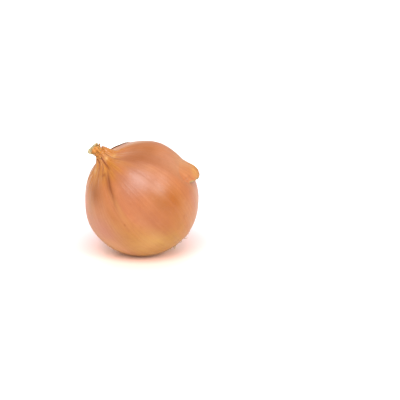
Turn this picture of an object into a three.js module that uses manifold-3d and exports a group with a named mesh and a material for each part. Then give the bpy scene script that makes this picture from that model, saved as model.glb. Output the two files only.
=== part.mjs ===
// A globe onion, as cured and sold: one round bulb that runs on into its dry, twisted neck, two places
// where the outermost dry skin has torn and stands off the bulb, and the tuft of dry roots under it.
// The onion lies tipped over on its flank, on the small flat that its own weight has given it, so its
// neck points up and sideways and its roots point down at the other side.
//
// Millimetres, +Z up, the table is z = 0 and the origin is on it, straight below the bulb's centre.
// Every piece is built in the bulb's own frame and then leaned with it: there +Z is the bulb's axis,
// from the roots to the neck, and z = 0 is its belly. Azimuth 0 is the level side of the bulb,
// 90 degrees is its upper side and -90 degrees is the side that faces the table.

import * as THREE from "three";
import { mergeVertices } from "three/addons/utils/BufferGeometryUtils.js";
import Module from "manifold-3d";

// ---------------------------------------------------------------- driving dimensions

const DEG = Math.PI / 180;

const BELLY_RADIUS = 37.3;
const SHOULDER = { radius: 14.5, height: 34.6 }; // where the bulb starts to draw in to its neck
const NECK_WAIST = { radius: 3.2, height: 43.2 };
const NECK_TIP = { radius: 3.6, height: 48.6 };
const ROOT_END = { radius: 11, height: -34.9 }; // the rim round the hollow that holds the roots
const ROOT_HOLLOW = 0.7; // how far that hollow goes in

const LEAN = 40.4 * DEG; // of the axis from upright
const TURN = -68.9 * DEG; // of the leaning bulb about the vertical
const CENTRE_HEIGHT = 35.6; // of the belly's centre above the table
const PRESSED_EDGE = 0.35; // half the height over which the flat rounds into the bulb

const AROUND = 72; // facets round the bulb

const SKIN_THICKNESS = 0.45;
const PIECE_GAP = 0.3; // between pieces that touch in the real onion

const ROOT_COUNT = 26;
const ROOT_RADIUS = 0.45;
const ROOT_CLEARANCE = 1.2; // least height of a root's middle line over the table

// ---------------------------------------------------------------- the bulb's surface

const point = (radius, height) => new THREE.Vector2(radius, height);

// The bulb's outline from the middle of its root end to the middle of its neck's tip.
function bulbOutline() {
  const outline = new THREE.CurvePath();
  const bend = (...points) => outline.add(new THREE.CubicBezierCurve(...points));
  const belly = point(BELLY_RADIUS, 0);
  const rootEnd = point(ROOT_END.radius, ROOT_END.height);
  const shoulder = point(SHOULDER.radius, SHOULDER.height);
  const waist = point(NECK_WAIST.radius, NECK_WAIST.height);
  const tip = point(NECK_TIP.radius, NECK_TIP.height);
  const hollow = point(0, ROOT_END.height + ROOT_HOLLOW);
  bend(hollow, point(4, hollow.y), point(7, ROOT_END.height - 0.4), rootEnd);
  bend(rootEnd, point(26.5, -32.2), point(BELLY_RADIUS, -17.2), belly);
  bend(belly, point(BELLY_RADIUS, 17.2), point(27.6, 29.6), shoulder);
  bend(shoulder, point(9.2, 36.6), point(3.7, 38.6), waist);
  bend(waist, point(2.9, 44.6), point(3.2, 46.8), tip);
  bend(tip, point(3.5, 50.2), point(1.7, 49.9), point(0, NECK_TIP.height + 0.8));
  return outline;
}

const OUTLINE = bulbOutline();

// 0 below low, 1 above high, and an S curve between them.
const ease = (value, low, high) => THREE.MathUtils.smoothstep(value, low, high);

// An angle as its equal between -180 and 180 degrees.
const nearest = (angle) => THREE.MathUtils.euclideanModulo(angle + Math.PI, 2 * Math.PI) - Math.PI;

// 1 at an azimuth, falling off over a width on both sides of it.
const near = (azimuth, middle, width) => Math.exp(-((nearest(azimuth - middle) / width) ** 2));

// Where the bulb isn't round: a flat cheek and a fuller crown. Each is a rise of its radius, as a share of
// it, that falls off over a width round one direction.
const UNEVEN = [
  { azimuth: -118 * DEG, fromNeck: 52 * DEG, width: 20 * DEG, rise: -0.055 },
  { azimuth: 92 * DEG, fromNeck: 58 * DEG, width: 17 * DEG, rise: 0.025 },
];
const DRAWN_SKIN = { azimuth: 98 * DEG, width: 52 * DEG, height: 5.0 };
const NECK_SHIFT = { azimuth: 95 * DEG, reach: 0.75 };
const FLAT_NECK = { azimuth: -5 * DEG, share: 0.24 }; // the side that the neck's tip is flattened from

// Rise of the bulb's radius in one direction, as a share of it, from its uneven spots.
function unevenness(azimuth, fromNeck) {
  return UNEVEN.reduce((sum, spot) => {
    const cosine =
      Math.cos(fromNeck) * Math.cos(spot.fromNeck) +
      Math.sin(fromNeck) * Math.sin(spot.fromNeck) * Math.cos(azimuth - spot.azimuth);
    const away = Math.acos(THREE.MathUtils.clamp(cosine, -1, 1)) / spot.width;
    return sum + spot.rise * Math.exp(-away * away);
  }, 0);
}

// How many times its outline's size the bulb is in one direction: two and three broad swells round
// the belly, and the uneven spots.
function girth(azimuth, radius, height) {
  const belly = ease(radius, 8, 26);
  const swell = 0.008 * Math.cos(2 * azimuth - 80 * DEG) + 0.006 * Math.cos(3 * azimuth + 63 * DEG);
  const uneven = unevenness(azimuth, Math.atan2(radius, height));
  return 1 + belly * swell + uneven * ease(radius, 6, 14);
}

// Share of the tent's height at one point of the outline: full where the tent's ridge is, less at the
// neck's waist, and none on the shoulder and at the neck's tip.
function tent(radius, height) {
  const onNeck = height > NECK_WAIST.height;
  const past = onNeck ? ease(height, NECK_WAIST.height, NECK_TIP.height) : ease(radius, 5.2, 9.8);
  return height > 0 ? (0.45 + 0.55 * ease(radius, 3.3, 4.8)) * (1 - past) : 0;
}

// The bulb's surface at an azimuth, for one point of its outline. On the upper side a second, shorter
// sheath of the neck stands up like a tent, and the whole neck sits a little towards that side. The neck's
// tip is flattened: narrower from one side and wider across it.
function surfacePoint(azimuth, { x: radius, y: height }) {
  const flat = FLAT_NECK.share * ease(height, NECK_WAIST.height - 0.5, NECK_TIP.height);
  const size = girth(azimuth, radius, height);
  const sizeRound = size * (1 - flat * Math.cos(2 * (azimuth - FLAT_NECK.azimuth)));
  const share = tent(radius, height) * near(azimuth, DRAWN_SKIN.azimuth, DRAWN_SKIN.width);
  const shift = NECK_SHIFT.reach * ease(height, SHOULDER.height + 1.5, NECK_WAIST.height);
  return new THREE.Vector3(
    radius * sizeRound * Math.cos(azimuth) + shift * Math.cos(NECK_SHIFT.azimuth),
    radius * sizeRound * Math.sin(azimuth) + shift * Math.sin(NECK_SHIFT.azimuth),
    height * size + DRAWN_SKIN.height * share,
  );
}

// ---------------------------------------------------------------- the table, seen from the bulb

const tableUp = new THREE.Vector3(0, Math.sin(LEAN), Math.cos(LEAN));
const table = new THREE.Plane(tableUp, CENTRE_HEIGHT);

// Height over the table after pressing: unchanged above the edge, 0 below it, rounded between.
function pressed(height) {
  if (height >= PRESSED_EDGE) return height;
  if (height <= -PRESSED_EDGE) return 0;
  return (height + PRESSED_EDGE) ** 2 / (4 * PRESSED_EDGE);
}

function pressToTable(place) {
  const height = table.distanceToPoint(place);
  return place.addScaledVector(tableUp, pressed(height) - height);
}

// ---------------------------------------------------------------- the bulb

function bulbGeometry() {
  const rows = OUTLINE.curves.flatMap((curve, i) => {
    const pieces = [4, 16, 16, 9, 4, 4][i];
    return curve.getPoints(pieces).slice(i ? 1 : 0);
  });
  const geometry = new THREE.LatheGeometry(rows, AROUND);
  const places = geometry.attributes.position;
  const perColumn = rows.length;
  for (let i = 0; i < places.count; i++) {
    const azimuth = (Math.floor(i / perColumn) % AROUND) * ((2 * Math.PI) / AROUND);
    const place = pressToTable(surfacePoint(azimuth, rows[i % perColumn]));
    places.setXYZ(i, place.x, place.y, place.z);
  }
  return geometry;
}

// ---------------------------------------------------------------- torn skin that stands off the bulb

// A closed shell over part of the bulb, like a tongue. along is its share of the outline, from the side
// where it grows out of the bulb's skin to its torn side, and around is its pair of azimuths. rounding
// is the part of its height that its torn side loses at the corners. lift(across, up) is how far it
// stands off beyond the gap, for shares of its width and height.
function standingSkin({ along, around, rounding, lift, columns, rows }) {
  const positions = [];
  const step = 0.002;
  const at = (azimuth, share) => surfacePoint(azimuth, OUTLINE.getPointAt(share));
  for (const layer of [0, SKIN_THICKNESS]) {
    for (let j = 0; j <= rows; j++) {
      for (let i = 0; i <= columns; i++) {
        const across = i / columns;
        const up = j / rows;
        const azimuth = THREE.MathUtils.lerp(...around, across);
        const reach = 1 - rounding * (2 * across - 1) ** 2;
        const share = THREE.MathUtils.lerp(...along, up * reach);
        const place = at(azimuth, share);
        const east = at(azimuth + step, share).sub(place);
        const north = at(azimuth, share + step).sub(place);
        const outward = east.cross(north).normalize();
        place.addScaledVector(outward, PIECE_GAP + lift(across, up) + layer);
        positions.push(...place);
      }
    }
  }
  const size = (columns + 1) * (rows + 1);
  const corner = (i, j, layer) => layer * size + j * (columns + 1) + i;
  const faces = [];
  const quad = (a, b, c, d) => faces.push(a, b, c, a, c, d);
  for (let j = 0; j < rows; j++) {
    for (let i = 0; i < columns; i++) {
      quad(corner(i, j, 1), corner(i + 1, j, 1), corner(i + 1, j + 1, 1), corner(i, j + 1, 1));
      quad(corner(i, j, 0), corner(i, j + 1, 0), corner(i + 1, j + 1, 0), corner(i + 1, j, 0));
    }
  }
  for (let i = 0; i < columns; i++) {
    quad(corner(i, 0, 0), corner(i + 1, 0, 0), corner(i + 1, 0, 1), corner(i, 0, 1));
    quad(corner(i + 1, rows, 0), corner(i, rows, 0), corner(i, rows, 1), corner(i + 1, rows, 1));
  }
  for (let j = 0; j < rows; j++) {
    quad(corner(0, j + 1, 0), corner(0, j, 0), corner(0, j, 1), corner(0, j + 1, 1));
    quad(corner(columns, j, 0), corner(columns, j + 1, 0), corner(columns, j + 1, 1), corner(columns, j, 1));
  }
  const geometry = new THREE.BufferGeometry();
  geometry.setAttribute("position", new THREE.Float32BufferAttribute(positions, 3));
  geometry.setIndex(faces);
  return geometry;
}

// Share of the outline's length at which the bulb's surface is a given angle from the neck's direction.
function shareAtAngle(fromNeck) {
  let low = 0;
  let high = 1;
  for (let i = 0; i < 30; i++) {
    const middle = (low + high) / 2;
    const place = OUTLINE.getPointAt(middle);
    if (Math.atan2(place.x, place.y) > fromNeck) low = middle;
    else high = middle;
  }
  return low;
}

// The torn edge near the neck, on the upper back of the shoulder: it curls up along its whole length.
const SHOULDER_SKIN = {
  along: [shareAtAngle(84 * DEG), shareAtAngle(28 * DEG)],
  around: [116 * DEG, 206 * DEG],
  rounding: 0.22,
  lift: (across, up) => 0.5 * Math.sin(Math.PI * across) ** 0.6 * ease(up, 0.5, 1) ** 2,
  columns: 22,
  rows: 12,
};

// Height of the flank's flap over its two sides, which stay down on the bulb: it rises towards the roots,
// and its torn end turns back down a little.
function flankLift(across, up) {
  const off = 4.3 * ease(up, 0.05, 0.9) - 0.5 * ease(up, 0.7, 1.1);
  return off * ease(across, 0, 0.42) * ease(1 - across, 0, 0.55);
}

// The flap of skin on the upper flank. It grows out of the skin on its neck side and ends towards the
// roots in a torn tongue. Both of its spans run backwards, which keeps its faces outwards.
const FLANK_SKIN = {
  along: [shareAtAngle(78 * DEG), shareAtAngle(103 * DEG)],
  around: [87 * DEG, 42 * DEG],
  rounding: 0.25,
  lift: flankLift,
  columns: 16,
  rows: 12,
};

// ---------------------------------------------------------------- the roots

const wasm = await Module();
wasm.setup();

function solidOf(geometry) {
  const bare = geometry.clone();
  for (const name of ["normal", "uv"]) bare.deleteAttribute(name);
  const merged = mergeVertices(bare, 1e-4);
  const vertProperties = new Float32Array(merged.attributes.position.array);
  const triVerts = new Uint32Array(merged.index.array);
  return new wasm.Manifold(new wasm.Mesh({ numProp: 3, vertProperties, triVerts }));
}

function geometryOf(solid) {
  const mesh = solid.getMesh();
  const geometry = new THREE.BufferGeometry();
  geometry.setAttribute("position", new THREE.BufferAttribute(mesh.vertProperties, 3));
  geometry.setIndex(new THREE.BufferAttribute(mesh.triVerts, 1));
  return geometry;
}

const CROWN = { radius: 6.6, top: ROOT_END.height + ROOT_HOLLOW - PIECE_GAP, thickness: 1.6 };

// The corky crown that the roots grow from, in the hollow of the root end.
function crownGeometry() {
  const base = CROWN.top - CROWN.thickness;
  const outline = [
    point(0, base),
    point(CROWN.radius * 0.6, base + 0.1),
    point(CROWN.radius, base + 0.5),
    point(CROWN.radius, CROWN.top - 0.7),
    point(CROWN.radius * 0.55, CROWN.top - 0.15),
    point(0, CROWN.top),
  ];
  const lathe = new THREE.LatheGeometry(outline, 24);
  return lathe.rotateX(Math.PI / 2);
}

// The same value between 0 and 1 each time, for one root and one of its features.
function chance(root, feature) {
  const scattered = Math.sin(root * 12.9898 + feature * 78.233) * 43758.5453;
  return THREE.MathUtils.euclideanModulo(scattered, 1);
}

// One root: out of the crown, leaning away from its middle, with its end curled to one side and held
// clear of the table.
function rootGeometry(root) {
  const goldenAngle = 137.5 * DEG;
  const azimuth = root * goldenAngle;
  const share = Math.sqrt((root + 0.5) / ROOT_COUNT);
  const outward = new THREE.Vector3(Math.cos(azimuth), Math.sin(azimuth), 0);
  const sideways = new THREE.Vector3(-outward.y, outward.x, 0);
  const length = THREE.MathUtils.lerp(4.5, 8, chance(root, 1));
  const splay = (12 + 38 * share) * DEG;
  const curl = (chance(root, 2) - 0.5) * 5;
  const start = outward.clone().multiplyScalar(share * (CROWN.radius - 0.9));
  start.z = CROWN.top - CROWN.thickness + 0.9;
  const points = [0, 0.35, 0.7, 1].map((reach) => {
    const place = start
      .clone()
      .addScaledVector(outward, Math.sin(splay) * length * reach)
      .addScaledVector(sideways, curl * reach * reach);
    place.z -= Math.cos(splay) * length * reach + 0.6 * Math.sin(Math.PI * reach);
    const height = table.distanceToPoint(place);
    return place.addScaledVector(tableUp, Math.max(0, ROOT_CLEARANCE - height));
  });
  const section = new THREE.Shape(
    [...Array(6).keys()].map((i) =>
      new THREE.Vector2(Math.cos(i * 60 * DEG), Math.sin(i * 60 * DEG)).multiplyScalar(ROOT_RADIUS),
    ),
  );
  return new THREE.ExtrudeGeometry(section, {
    extrudePath: new THREE.CatmullRomCurve3(points),
    steps: 5,
    bevelEnabled: false,
  });
}

function rootTuftGeometry() {
  const roots = [...Array(ROOT_COUNT).keys()].map((root) => solidOf(rootGeometry(root)));
  return geometryOf(roots.reduce((tuft, root) => tuft.add(root), solidOf(crownGeometry())));
}

// ---------------------------------------------------------------- the onion

const drySkin = (color) => new THREE.MeshStandardMaterial({ color, roughness: 0.42, metalness: 0 });
const dryRoot = new THREE.MeshStandardMaterial({ color: 0xb9a075, roughness: 0.85, metalness: 0 });

function piece(name, geometry, material) {
  const mesh = new THREE.Mesh(geometry, material);
  mesh.name = name;
  return mesh;
}

const onion = new THREE.Group();
onion.add(
  piece("bulb", bulbGeometry(), drySkin(0xd08a52)),
  piece("loose_skin_shoulder", standingSkin(SHOULDER_SKIN), drySkin(0xc98145)),
  piece("loose_skin_flank", standingSkin(FLANK_SKIN), drySkin(0xd98f4a)),
  piece("root_tuft", rootTuftGeometry(), dryRoot),
);
onion.rotation.set(LEAN, 0, TURN, "ZYX");
onion.position.z = CENTRE_HEIGHT;

export default onion;
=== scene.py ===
"""A whole dry globe onion lying on its flank: tight copper skin with fine veins, a folded dry neck with
torn leaf bases, two flaps of torn outer skin and a tuft of dry roots.

Shapes are worked out in millimetres in the bulb's own frame. There +Z is the bulb's axis, from the roots
to the neck, and z = 0 is its belly. Azimuth 0 is the level side at the front, 90 degrees is the upper side
and -90 degrees is the side that faces the table. lean() then puts a shape where the bulb lies, and
settle() presses the bulb flat on the table.
"""

import bpy
import numpy as np
from mathutils import Matrix, Vector


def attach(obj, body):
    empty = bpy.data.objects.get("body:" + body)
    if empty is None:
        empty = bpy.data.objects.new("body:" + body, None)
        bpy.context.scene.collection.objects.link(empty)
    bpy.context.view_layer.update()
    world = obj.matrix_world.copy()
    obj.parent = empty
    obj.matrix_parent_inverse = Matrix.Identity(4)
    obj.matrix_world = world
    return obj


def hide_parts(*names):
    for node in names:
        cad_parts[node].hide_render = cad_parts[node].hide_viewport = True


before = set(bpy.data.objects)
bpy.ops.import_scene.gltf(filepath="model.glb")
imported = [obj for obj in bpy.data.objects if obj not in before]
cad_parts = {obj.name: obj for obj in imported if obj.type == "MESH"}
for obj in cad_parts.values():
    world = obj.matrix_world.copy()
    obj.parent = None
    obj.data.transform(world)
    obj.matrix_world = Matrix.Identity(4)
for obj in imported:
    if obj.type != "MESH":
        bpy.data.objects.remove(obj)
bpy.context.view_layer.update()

# ---------------------------------------- driving dimensions, as in the CAD

DEG = np.pi / 180  # a degree in radians
MM = 0.001  # a millimetre in metres

BELLY_RADIUS = 37.3
SHOULDER = (14.5, 34.6)  # radius and height where the bulb starts to draw in to its neck
NECK_WAIST = (3.2, 43.2)
NECK_TIP = (3.6, 48.6)
ROOT_END = (11, -34.9)  # the rim round the hollow that holds the roots
ROOT_HOLLOW = 0.7

LEAN = 40.4 * DEG  # of the axis from upright
TURN = -68.9 * DEG  # of the leaning bulb about the vertical
CENTRE_HEIGHT = 35.6  # of the belly's centre above the table
PRESSED_EDGE = 0.35  # half the height over which the flat rounds into the bulb

# Where the bulb isn't round: azimuth, angle from the neck and width in degrees, and its rise as a share of
# its radius. The first is a flat cheek and the second a fuller crown.
UNEVEN = [(-118, 52, 20, -0.055), (92, 58, 17, 0.025)]
# Slow swells round the belly: how many in a turn, their rise as a share of the radius, and their shift.
SWELLS = [(2, 0.008, -80 * DEG), (3, 0.006, 63 * DEG)]
DRAWN_SKIN = {"azimuth": 98 * DEG, "width": 52 * DEG, "height": 5.0}  # the tent beside the neck
NECK_SHIFT = {"azimuth": 95 * DEG, "reach": 0.75}  # how far and which way the neck is off the axis
FLAT_NECK = {"azimuth": -5 * DEG, "share": 0.24}  # the side that the neck's tip is flattened from

CAMERA_DISTANCE = 620  # from the belly's centre
CAMERA_ELEVATION = 16 * DEG
CAMERA_LENS, SENSOR_WIDTH = 85.6, 36
AIM_RIGHT, AIM_DOWN = 38.3, 0.5  # of the camera's axis past the belly's centre


# ---------------------------------------- small helpers

def ease(value, low, high):
    """0 below low, 1 above high, and an S curve, 3 t squared less 2 t cubed, between them."""
    t = np.clip((value - low) / (high - low), 0, 1)
    return t * t * (3 - 2 * t)


def nearest(angle):
    """An angle as its equal between minus and plus half a turn."""
    return (angle + np.pi) % (2 * np.pi) - np.pi


def near(angle, middle, width):
    """1 at an angle, falling off over a width on both sides of it, as a bell curve."""
    return np.exp(-((nearest(angle - middle) / width) ** 2))


def unit(vectors):
    """Vectors brought to a length of 1, or left at 0."""
    return vectors / np.maximum(np.linalg.norm(vectors, axis=-1, keepdims=True), 1e-9)


def field(shape, seed, down, across):
    """Smooth chance heights on a grid that wraps: white noise blurred by bell curves down and across
    its rows, in cells, and scaled to a spread of 1."""
    noise = np.random.default_rng(seed).standard_normal(shape)
    slow = np.exp(-2 * (np.pi * down * np.fft.fftfreq(shape[0])[:, None]) ** 2)
    slow = slow * np.exp(-2 * (np.pi * across * np.fft.rfftfreq(shape[1])[None, :]) ** 2)
    smooth = np.fft.irfft2(np.fft.rfft2(noise) * slow, s=shape)
    return (smooth - smooth.mean()) / smooth.std()


def ragged(count, seed, cells):
    """A smooth chance line of count values, blurred over some cells, with a spread of 1."""
    return field((1, count), seed, 0, cells)[0]


# ---------------------------------------- the bulb's surface

def bend(start, first, second, end, count):
    """count + 1 points of a cubic curve that leaves start towards first and reaches end from second."""
    t = np.linspace(0, 1, count + 1)[:, None]
    points = np.array([start, first, second, end], float)
    return ((1 - t) ** 3 * points[0] + 3 * t * (1 - t) ** 2 * points[1]
            + 3 * t * t * (1 - t) * points[2] + t**3 * points[3])


def outline(counts):
    """Radius and height along the bulb's outline, from the middle of its root end, over the belly and the
    neck, to the floor of the neck's open end, as six curves with the given numbers of steps."""
    hollow = (0, ROOT_END[1] + ROOT_HOLLOW)
    belly = (BELLY_RADIUS, 0)
    rim = (NECK_TIP[0] - 0.4, NECK_TIP[1] - 2.2)
    curves = [
        bend(hollow, (4, hollow[1]), (7, ROOT_END[1] - 0.4), ROOT_END, counts[0]),
        bend(ROOT_END, (26.5, -32.2), (BELLY_RADIUS, -17.2), belly, counts[1]),
        bend(belly, (BELLY_RADIUS, 17.2), (27.6, 29.6), SHOULDER, counts[2]),
        bend(SHOULDER, (9.2, 36.6), (3.7, 38.6), NECK_WAIST, counts[3]),
        bend(NECK_WAIST, (2.9, 44.4), (2.9, 45.4), rim, counts[4]),
        bend(rim, (rim[0] - 0.1, rim[1] + 0.8), (rim[0] - 0.7, rim[1] - 3.5), (0, rim[1] - 3.5), counts[5]),
    ]
    line = np.concatenate([curves[0]] + [curve[1:] for curve in curves[1:]])
    return line[:, 0], line[:, 1]


def length_along(radius, height):
    """Length of the outline from its first point to each of its points."""
    steps = np.hypot(np.diff(radius), np.diff(height))
    return np.concatenate([[0], np.cumsum(steps)])


# The outline in fine steps, without the inside of the neck, to look values up in.
FINE_COUNTS = [60, 200, 200, 90, 40, 30]
FINE_RADIUS, FINE_HEIGHT = [values[:-FINE_COUNTS[5]] for values in outline(FINE_COUNTS)]
FINE_UNDERSIDE = slice(FINE_COUNTS[0], FINE_COUNTS[0] + FINE_COUNTS[1])
FINE_NECK = slice(-60, None)  # where the height only grows
FINE_LENGTH = length_along(FINE_RADIUS, FINE_HEIGHT)
FINE_FROM_NECK = np.arctan2(FINE_RADIUS, FINE_HEIGHT)


def length_at_angle(from_neck):
    """Length along the outline at which the surface is an angle from the neck's direction."""
    return np.interp(from_neck, FINE_FROM_NECK[::-1], FINE_LENGTH[::-1])


def girth(azimuth, radius, height):
    """How many times its outline's size the bulb is in one direction: one, plus its swells, each a cosine
    round the belly, plus its uneven spots, each a bell curve of the angle from its middle."""
    belly = ease(radius, 8, 26)
    swell = sum(rise * np.cos(count * azimuth + shift) for count, rise, shift in SWELLS)
    from_neck = np.arctan2(radius, height)
    uneven = 0
    for middle, angle, width, rise in UNEVEN:
        cosine = (np.cos(from_neck) * np.cos(angle * DEG)
                  + np.sin(from_neck) * np.sin(angle * DEG) * np.cos(azimuth - middle * DEG))
        away = np.arccos(np.clip(cosine, -1, 1)) / (width * DEG)
        uneven = uneven + rise * np.exp(-away * away)
    return 1 + belly * swell + uneven * ease(radius, 6, 14)


def tent(radius, height):
    """Share of the drawn skin's height: full at its ridge, less at the waist, none on the shoulder and at
    the neck's tip."""
    on_neck = ease(height, NECK_WAIST[1], NECK_TIP[1])
    on_shoulder = ease(radius, 5.2, 9.8)
    past = np.where(height > NECK_WAIST[1], on_neck, on_shoulder)
    return np.where(height > 0, (0.45 + 0.55 * ease(radius, 3.3, 4.8)) * (1 - past), 0)


def surface(azimuth, radius, height):
    """The bulb's smooth surface: its outline turned round the axis, times its girth, with the skin drawn
    up like a tent on the upper side of the neck, the neck moved a little towards that side, and its tip
    flattened: narrower from one side and wider across it, as a cosine of twice the azimuth."""
    size = girth(azimuth, radius, height)
    share = tent(radius, height) * near(azimuth, DRAWN_SKIN["azimuth"], DRAWN_SKIN["width"])
    shift = NECK_SHIFT["reach"] * ease(height, SHOULDER[1] + 1.5, NECK_WAIST[1])
    flat = FLAT_NECK["share"] * ease(height, NECK_WAIST[1] - 0.5, NECK_TIP[1])
    size_round = size * (1 - flat * np.cos(2 * (azimuth - FLAT_NECK["azimuth"])))
    x = radius * size_round * np.cos(azimuth) + shift * np.cos(NECK_SHIFT["azimuth"])
    y = radius * size_round * np.sin(azimuth) + shift * np.sin(NECK_SHIFT["azimuth"])
    z = height * size + DRAWN_SKIN["height"] * share
    return np.stack(np.broadcast_arrays(x, y, z), -1)


def over_bulb(azimuth, along):
    """Points of the smooth bulb for azimuths and lengths along its outline."""
    radius = np.interp(along, FINE_LENGTH, FINE_RADIUS)
    height = np.interp(along, FINE_LENGTH, FINE_HEIGHT)
    return surface(azimuth, radius, height)


def outward(points, wraps=False):
    """Unit normals of a grid of points: its change along a row crossed with its change up a column. Where
    the rows wrap, the change along them does too."""
    if wraps:
        east = np.roll(points, -1, 1) - np.roll(points, 1, 1)
    else:
        east = np.gradient(points, axis=1)
    return unit(np.cross(east, np.gradient(points, axis=0)))


# ---------------------------------------- from the bulb's frame to the table

def lean(points):
    """Points in the bulb's frame, in millimetres, where the bulb lies: leaned about X, turned about Z and
    lifted to the height of the belly's centre."""
    cos_lean, sin_lean, cos_turn, sin_turn = np.cos(LEAN), np.sin(LEAN), np.cos(TURN), np.sin(TURN)
    x, y, z = points[..., 0], points[..., 1], points[..., 2]
    level, up = cos_lean * y - sin_lean * z, sin_lean * y + cos_lean * z
    turned = (cos_turn * x - sin_turn * level, sin_turn * x + cos_turn * level, up + CENTRE_HEIGHT)
    return np.stack(turned, -1)


def settle(points):
    """The same points pressed by the table: a height is kept above the edge, becomes 0 below it, and
    runs between them as the square of its distance from the edge."""
    z = points[..., 2]
    pressed = np.where(z >= PRESSED_EDGE, z, (z + PRESSED_EDGE) ** 2 / (4 * PRESSED_EDGE))
    return np.concatenate([points[..., :2], np.where(z <= -PRESSED_EDGE, 0, pressed)[..., None]], -1)


# ---------------------------------------- meshes

def grid_faces(rows, columns, wraps):
    """Corner numbers of the quads of a grid, east then up, so that they face outwards."""
    across = np.arange(columns if wraps else columns - 1)
    first = np.arange(rows - 1)[:, None] * columns + across
    second = np.arange(rows - 1)[:, None] * columns + (across + 1) % columns
    return np.stack([first, second, second + columns, first + columns], -1).reshape(-1, 4)


def pole_faces(rows, columns):
    """Faces of a wrapped grid whose first and last rows are one point each, as with_poles puts them: quads
    between its inner rows, then a fan of triangles round its south pole and one round its north pole."""
    count = (rows - 2) * columns
    here = np.arange(columns)
    after = (here + 1) % columns
    last = count - columns
    south = np.stack([np.full(columns, count), after, here], -1)
    north = np.stack([np.full(columns, count + 1), last + here, last + after], -1)
    return grid_faces(rows - 2, columns, wraps=True).tolist() + south.tolist() + north.tolist()


def with_poles(grid):
    """A grid's inner rows as a list, then the middle of its first row and the middle of its last."""
    ends = grid[0].mean(0, keepdims=True), grid[-1].mean(0, keepdims=True)
    return np.concatenate([grid[1:-1].reshape(-1, *grid.shape[2:]), *ends])


def make_piece(name, points, faces, material, node, marks):
    """A mesh object at the origin from points in millimetres, with one value or vector a point for each
    mark. It rides on the onion, stands for its CAD node, whose part it hides, and takes the given material."""
    mesh = bpy.data.meshes.new(name)
    mesh.from_pydata((points.reshape(-1, 3) * MM).tolist(), [], faces)
    mesh.polygons.foreach_set("use_smooth", np.ones(len(mesh.polygons), bool))
    for mark, values in marks.items():
        values = np.asarray(values, np.float32)
        kind, key = ("FLOAT_VECTOR", "vector") if values.ndim > 1 else ("FLOAT", "value")
        mesh.attributes.new(mark, kind, "POINT").data.foreach_set(key, values.ravel())
    mesh.materials.append(material)
    piece = bpy.data.objects.new(name, mesh)
    bpy.context.scene.collection.objects.link(piece)
    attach(piece, "root")
    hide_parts(node)
    return piece


def thicken(piece, thickness):
    """Gives a thin sheet its two faces and closed edges, half its thickness to each side."""
    wall = piece.modifiers.new("wall", "SOLIDIFY")
    wall.thickness = thickness * MM
    wall.offset = 0


# ---------------------------------------- materials

# Sockets of a colour mix: its share, its two colours and its result.
SHARE, FIRST, SECOND, MIXED = 0, 6, 7, 2

# Streaks in a turn of the bulb, which is 234 mm, so that bands are 2.5 mm wide and fibres 0.6 mm.
BANDS = 95
FIBRES = 420

SKIN_IOR = 1.48  # of dry cellulose with its waxes
PAPER_IOR = 1.45  # of duller, more open tissue

# The marks on a skin's mesh that its colour reads.
SKIN_MARKS = ("gold", "neck", "rose_and_painted_highlight", "blush_and_painted_light", "amber", "painted_shade", "vein", "tan_and_shade", "straw", "fold")


def linear(colour):
    """An sRGB hex colour as linear red, green, blue and a full alpha."""
    parts = [int(colour[i:i + 2], 16) / 255 for i in (1, 3, 5)]
    return [p / 12.92 if p <= 0.04045 else ((p + 0.055) / 1.055) ** 2.4 for p in parts] + [1.0]


def add(tree, kind, inputs=None, output=0, stops=None, **settings):
    """Adds a node with its settings and returns one of its outputs, if it has any. inputs says what goes
    into its sockets: another node's output is linked, a hex word is turned to a colour, and anything else
    is set. stops are a colour ramp's places and colours."""
    node = tree.nodes.new("ShaderNode" + kind)
    for name, value in settings.items():
        setattr(node, name, value)
    for socket, value in (inputs or {}).items():
        if isinstance(value, bpy.types.NodeSocket):
            tree.links.new(value, node.inputs[socket])
        else:
            node.inputs[socket].default_value = linear(value) if isinstance(value, str) else value
    if stops:
        ramp = node.color_ramp.elements
        while len(ramp) < len(stops):
            ramp.new(0.5)
        for element, (place, colour) in zip(ramp, stops):
            element.position = place
            element.color = linear(colour)
    return node.outputs[output] if len(node.outputs) else None


def new_material(name):
    """An empty material and its node tree."""
    material = bpy.data.materials.new(name)
    material.use_nodes = True
    material.node_tree.nodes.clear()
    return material, material.node_tree


def layered(tree, colour, layers):
    """A colour with others laid over it one after another. Each layer has where it lies, how much of it
    shows there at most, and its colour."""
    for place, amount, over in layers:
        share = add(tree, "Math", {0: place, 1: amount}, operation="MULTIPLY")
        colour = add(tree, "Mix", {SHARE: share, FIRST: colour, SECOND: over}, MIXED, data_type="RGBA")
    return colour


def streaks(tree, around, along, detail, seed):
    """Noise drawn out along the veins. around is how many cells it has in a turn of the bulb, and along
    is how many in a radius of the way from root to neck."""
    turn = around / (2 * np.pi)
    meridian = add(tree, "Attribute", output="Vector", attribute_name="meridian")
    place = add(tree, "VectorMath", {0: meridian, 1: (turn, turn, along), 2: (seed, seed, seed)},
                operation="MULTIPLY_ADD")
    return add(tree, "TexNoise", {"Vector": place, "Scale": 1.0, "Detail": detail, "Roughness": 0.55})


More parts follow.
